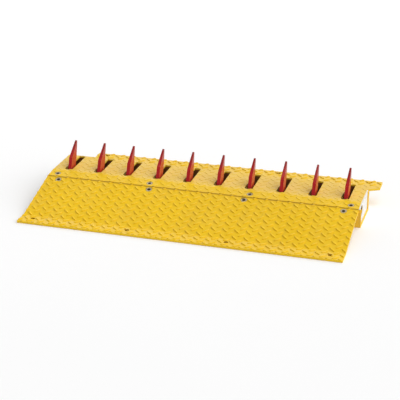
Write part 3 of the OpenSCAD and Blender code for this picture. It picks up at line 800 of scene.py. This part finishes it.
def cut_away(piece, boxes, rounds):
    """Takes the plate's slots, holes and the outside of its edges off the lozenges."""
    cutters = [add_cutter(box_outline(*box)) for box in boxes]
    cutters += [add_cutter(round_outline(*hole)) for hole in rounds]
    for cutter in cutters:
        cut = piece.modifiers.new("cut", "BOOLEAN")
        cut.operation = "DIFFERENCE"
        cut.solver = "EXACT"
        cut.object = cutter
    shaped = piece.evaluated_get(bpy.context.evaluated_depsgraph_get())
    data = bpy.data.meshes.new_from_object(shaped)
    piece.modifiers.clear()
    old = piece.data
    piece.data = data
    bpy.data.meshes.remove(old)
    for cutter in cutters:
        bpy.data.objects.remove(cutter)


def corner(y, z, a0, a1, r, steps=5):
    """Points of a rounded bend in the upper line, between two slopes that would meet at the given place."""
    turn = a1 - a0
    side = math.copysign(1, turn)
    run_in = r * math.tan(abs(turn) / 2)
    start = Vector((y - run_in * math.cos(a0), z - run_in * math.sin(a0)))
    middle = start + side * r * Vector((-math.sin(a0), math.cos(a0)))
    angles = [a0 + turn * k / steps for k in range(steps + 1)]
    return [middle + side * r * Vector((math.sin(a), -math.cos(a))) for a in angles]


def lay_on(profile, data):
    """Bends flat points, across and along the plate, on to the upper line of its side view."""
    lengths = [0.0]
    for a, b in zip(profile, profile[1:]):
        lengths.append(lengths[-1] + (b - a).length)
    for vertex in data.vertices:
        x, s, z = vertex.co
        k = 0
        while k < len(profile) - 2 and s > lengths[k + 1]:
            k += 1
        along = (profile[k + 1] - profile[k]).normalized()
        point = profile[k] + along * (s - lengths[k]) + Vector((-along.y, along.x)) * z
        vertex.co = Vector((x, point.x, point.y)) * MM


def run_to(profile, y):
    """Distance along the upper line to the given Y."""
    total = 0.0
    for a, b in zip(profile, profile[1:]):
        if y <= b.x:
            return total + (b - a).length * (y - a.x) / (b.x - a.x)
        total += (b - a).length
    return total


def lug_spots(length, x0, x1, start):
    """Place and turn of every lozenge that the flat plate could carry."""
    for row in range(-1, int(length / LUG_PITCH_S) + 2):
        for column in range(-1, int((x1 - x0) / LUG_PITCH_X) + 2):
            for shift, turn in ((0.0, LUG_TURN), (0.5, -LUG_TURN)):
                x = x0 + start[0] + (column + shift) * LUG_PITCH_X
                s = start[1] + (row + shift) * LUG_PITCH_S
                yield x, s, turn


def in_box(box, x, s, margin):
    x0, x1, s0, s1 = box
    return x0 - margin < x < x1 + margin and s0 - margin < s < s1 + margin


def add_tread(name, profile, x0, x1, start, boxes, rounds, worn_to=()):
    """Lozenges on one plate. Those that meet a box or a hole are cut, the others are left whole."""
    length = run_to(profile, profile[-1].x)
    clean, cut = bmesh.new(), bmesh.new()
    layers = {mesh: mesh.verts.layers.float.new("lug_rise") for mesh in (clean, cut)}
    half = LUG_LENGTH / 2
    for x, s, turn in lug_spots(length, x0, x1, start):
        if any(in_box(box, x, s, -half) for box in boxes):
            continue
        near_box = any(in_box(box, x, s, half) for box in boxes)
        near_hole = any(math.hypot(x - hx, s - hs) < half + d / 2 for hx, hs, d in rounds)
        mesh = cut if near_box or near_hole else clean
        share = next((share for end, share in worn_to if s < end), 1.0)
        add_lug(mesh, layers[mesh], x, s, turn, share)
    tread = as_object(name, cut)
    cut_away(tread, boxes, rounds)
    joined = bmesh.new()
    joined.from_mesh(tread.data)
    whole = bpy.data.meshes.new("whole")
    clean.to_mesh(whole)
    clean.free()
    joined.from_mesh(whole)
    bpy.data.meshes.remove(whole)
    bmesh.ops.remove_doubles(joined, verts=joined.verts, dist=DOUBLES)
    joined.to_mesh(tread.data)
    joined.free()
    lay_on(profile, tread.data)
    tread.data.shade_smooth()
    dress(tread, TREAD_YELLOW)
    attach(tread, "housing")
    return tread


def hole_row(profile, xs, y, diameter):
    return [(x, run_to(profile, y), diameter + HOLE_MARGIN) for x in xs]


def add_ramp_tread():
    end_y = FRONT_Y - JOINT_GAP / 2
    end_z = RAMP_TOP_Z + (end_y - FRONT_Y) * math.tan(RAMP_ANGLE)
    bend = corner(BEND_Y, PLATE_T, 0, RAMP_ANGLE, RAMP_BEND_R)
    profile = [Vector((FRONT_EDGE_Y, PLATE_T)), *bend, Vector((end_y, end_z))]
    length = run_to(profile, end_y)
    boxes = [
        (-HALF - BEYOND, -HALF + INSET, -BEYOND, length + BEYOND),
        (HALF - INSET, HALF + BEYOND, -BEYOND, length + BEYOND),
        (-HALF - BEYOND, HALF + BEYOND, -BEYOND, INSET),
        (-HALF - BEYOND, HALF + BEYOND, length - INSET, length + BEYOND),
    ]
    rounds = hole_row(profile, ANCHOR_XS, ANCHOR_Y, ANCHOR_D)
    rounds += hole_row(profile, RAMP_SCREW_XS, RAMP_SCREW_Y, COUNTERSINK_D)
    add_tread("ramp_tread", profile, -HALF, HALF, RAMP_LUG_START, boxes, rounds)


def add_top_tread():
    start_y = FRONT_Y + JOINT_GAP / 2
    under = DECK_HEIGHT - PLATE_T - (STRIP_RUN - JOINT_GAP / 2) * math.tan(STRIP_ANGLE)
    start = Vector((start_y, under + PLATE_T / math.cos(STRIP_ANGLE)))
    fold_y = FRONT_Y + STRIP_RUN - PLATE_T * math.tan(STRIP_ANGLE / 2)
    bend = corner(fold_y, DECK_HEIGHT, STRIP_ANGLE, 0, DECK_BEND_R)
    profile = [start, *bend, Vector((REAR_EDGE_Y, DECK_HEIGHT))]
    length = run_to(profile, REAR_EDGE_Y)
    wall_s = run_to(profile, REAR_Y)
    tab_s = run_to(profile, TAB_FRONT_Y + TAB_TAPER) + INSET
    boxes = [
        (-HALF - BEYOND, -HALF + INSET, -BEYOND, length + BEYOND),
        (HALF - INSET, TAB_X + BEYOND, -BEYOND, tab_s),
        (-HALF - BEYOND, NOTCH_X + INSET, wall_s - INSET, length + BEYOND),
        (TAB_X - INSET, TAB_X + BEYOND, -BEYOND, length + BEYOND),
        (-HALF - BEYOND, TAB_X + BEYOND, -BEYOND, INSET),
        (-HALF - BEYOND, TAB_X + BEYOND, length - INSET, length + BEYOND),
    ]
    front_s, rear_s = run_to(profile, SLOT_FRONT_Y) - INSET, run_to(profile, SLOT_REAR_Y) + INSET
    half_slot = SLOT_WIDTH / 2 + INSET
    for number in range(1, SPIKE_COUNT + 1):
        boxes.append((spike_x(number) - half_slot, spike_x(number) + half_slot, front_s, rear_s))
    rounds = hole_row(profile, REAR_HOLE_XS, REAR_HOLE_Y, REAR_HOLE_D)
    rounds += hole_row(profile, TOP_SCREW_XS, TOP_SCREW_Y, COUNTERSINK_D)
    worn_to = ((run_to(profile, fold_y), STRIP_LUG_SHARE), (wall_s, DECK_LUG_SHARE))
    add_tread("top_tread", profile, -HALF, TAB_X, TOP_LUG_START, boxes, rounds, worn_to)


add_ramp_tread()
add_top_tread()

# Return springs: round wire, the fixed leg on the stop bar and the hook under the spike's neck
WIRE_R = 1.5
COIL_R = 11.6
COIL_TURNS = 4
COIL_PITCH = 3.7
COIL_NEAR_X = 13.8
HOOK_END_X = -6.5
STOP_REST = Vector((17.0372, -19.2))
HOOK_POINT = Vector((33.0, 1.0575))
HOOK_BEND_R = 3.4
TURN_STEPS = 30
LEG_STEPS = 4
HOOK_STEPS = 8
WIRE_SIDES = 12
END_EASE = 0.12
END_SHARE = 0.82


def angle_of(point):
    return math.atan2(point.y, point.x)


def between(a, b, steps):
    return [a + (b - a) * k / LEG_STEPS for k in steps]


def spring_path():
    """Middle line of a spring beside the first five spikes, round the pivot, and where its coil begins."""
    fixed = angle_of(STOP_REST) - math.acos(COIL_R / STOP_REST.length)
    hook = angle_of(HOOK_POINT) + math.acos(COIL_R / HOOK_POINT.length)
    sweep = fixed - hook + 2 * math.pi * (COIL_TURNS + 1)
    far_x = COIL_NEAR_X + COIL_PITCH * sweep / (2 * math.pi)
    steps = round(sweep * TURN_STEPS / (2 * math.pi))
    coil = []
    for k in range(steps + 1):
        a = fixed - sweep * k / steps
        x = far_x + (COIL_NEAR_X - far_x) * k / steps
        coil.append(Vector((x, COIL_R * math.cos(a), COIL_R * math.sin(a))))
    leg = Vector((far_x, STOP_REST.x, STOP_REST.y))
    path = between(leg, coil[0], range(LEG_STEPS)) + coil
    end = Vector((COIL_NEAR_X, HOOK_POINT.x, HOOK_POINT.y))
    run = (end - path[-1]).normalized()
    turn_in = end - run * HOOK_BEND_R
    path += between(path[-1], turn_in, range(1, LEG_STEPS))
    middle = turn_in - Vector((HOOK_BEND_R, 0, 0))
    for k in range(HOOK_STEPS + 1):
        a = math.pi / 2 * k / HOOK_STEPS
        path.append(middle + HOOK_BEND_R * (Vector((1, 0, 0)) * math.cos(a) + run * math.sin(a)))
    last = Vector((HOOK_END_X, HOOK_POINT.x, HOOK_POINT.y))
    path += between(path[-1], last, range(1, LEG_STEPS + 1))
    return path, far_x


def add_wire(mesh, path, radius):
    """Closed round tube along the path, its ends eased."""
    spine = [path[0] + (path[1] - path[0]).normalized() * radius * END_EASE, *path[1:-1]]
    spine.append(path[-1] + (path[-2] - path[-1]).normalized() * radius * END_EASE)
    directions = []
    for k in range(len(spine)):
        ahead = spine[min(k + 1, len(spine) - 1)] - spine[max(k - 1, 0)]
        directions.append(ahead.normalized())
    side = directions[0].orthogonal().normalized()
    rings = []
    for k, (point, direction) in enumerate(zip(spine, directions)):
        side = (side - direction * side.dot(direction)).normalized()
        other = direction.cross(side)
        eased = [(point, radius)]
        if k == 0:
            eased = [(path[0], radius * END_SHARE), (point, radius)]
        if k == len(spine) - 1:
            eased = [(point, radius), (path[-1], radius * END_SHARE)]
        for centre, r in eased:
            ring = [centre + r * (math.cos(a) * side + math.sin(a) * other) for a in round_turns(WIRE_SIDES)]
            rings.append([mesh.verts.new(spot) for spot in ring])
    skin(mesh, rings)


def add_springs():
    path, far_x = spring_path()
    for number in range(1, SPIKE_COUNT + 1):
        hand = -1 if number > SPIKE_COUNT // 2 else 1
        middle = Vector((spike_x(number), PIVOT_Y, PIVOT_Z))
        mesh = bmesh.new()
        add_wire(mesh, [(Vector((hand * p.x, p.y, p.z)) + middle) * MM for p in path], WIRE_R * MM)
        bmesh.ops.recalc_face_normals(mesh, faces=mesh.faces)
        spring = as_object(f"spring_wire_{number:02d}", mesh)
        spring.data.shade_smooth()
        dress(spring, SPRING_STEEL)
        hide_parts(f"return_spring_{number:02d}")
        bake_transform(spring)


add_springs()

# Floor, light and sky, in metres
FLOOR_SIZE = 20
FLOOR_DROP = 0.0004
FLOOR_COLOURS = ((0.93, 0.93, 0.93, 1), (0.95, 0.95, 0.95, 1))
FLOOR_ROUGH = 0.9
FLOOR_SPECULAR = 0.1
SUN_ENERGY = 2.75
SUN_SPREAD = math.radians(95)
SUN_WAY = Vector((-0.69, 0.03, -0.72))
PANEL_SIZE = (7.0, 1.6)
PANEL_ENERGY = 40
PANEL_PLACE = Vector((-0.6, 4.2, 1.7))
AMBIENT = 0.37


def add_floor():
    mesh = bmesh.new()
    bmesh.ops.create_grid(mesh, x_segments=1, y_segments=1, size=FLOOR_SIZE)
    floor = as_object("floor", mesh)
    floor.location.z = -FLOOR_DROP
    material, nodes, shader = new_material("pale_floor")
    cloud = nodes.noise(nodes.place(), 1.5, 2.0)
    nodes.feed(shader.inputs["Base Color"], nodes.blend(cloud, *FLOOR_COLOURS))
    shader.inputs["Roughness"].default_value = FLOOR_ROUGH
    shader.inputs["Specular IOR Level"].default_value = FLOOR_SPECULAR
    dress(floor, material)


def hang_light(data, way):
    light = bpy.data.objects.new(data.name, data)
    light.rotation_mode = "QUATERNION"
    light.rotation_quaternion = way.to_track_quat("-Z", "Y")
    scene.collection.objects.link(light)
    return light


def add_light():
    sun = bpy.data.lights.new("key", "SUN")
    sun.energy = SUN_ENERGY
    sun.angle = SUN_SPREAD
    hang_light(sun, SUN_WAY)
    panel = bpy.data.lights.new("back_panel", "AREA")
    panel.shape = "RECTANGLE"
    panel.size, panel.size_y = PANEL_SIZE
    panel.energy = PANEL_ENERGY
    hang_light(panel, -PANEL_PLACE).location = PANEL_PLACE


def add_sky():
    world = bpy.data.worlds.new("studio")
    scene.world = world
    world.use_nodes = True
    world.node_tree.nodes.clear()
    nodes = Nodes(world.node_tree)
    path = nodes.add("ShaderNodeLightPath").outputs
    mirrored = nodes.math("MAXIMUM", path["Is Glossy Ray"], path["Is Transmission Ray"])
    shown = nodes.math("MAXIMUM", path["Is Camera Ray"], mirrored)
    strength = nodes.range(shown, 0.0, 1.0, AMBIENT, 1.0)
    sky = nodes.add("ShaderNodeBackground", {"Color": (1, 1, 1, 1), "Strength": strength})
    output = nodes.add("ShaderNodeOutputWorld")
    nodes.feed(output.inputs["Surface"], sky.outputs["Background"])


add_floor()
add_light()
add_sky()
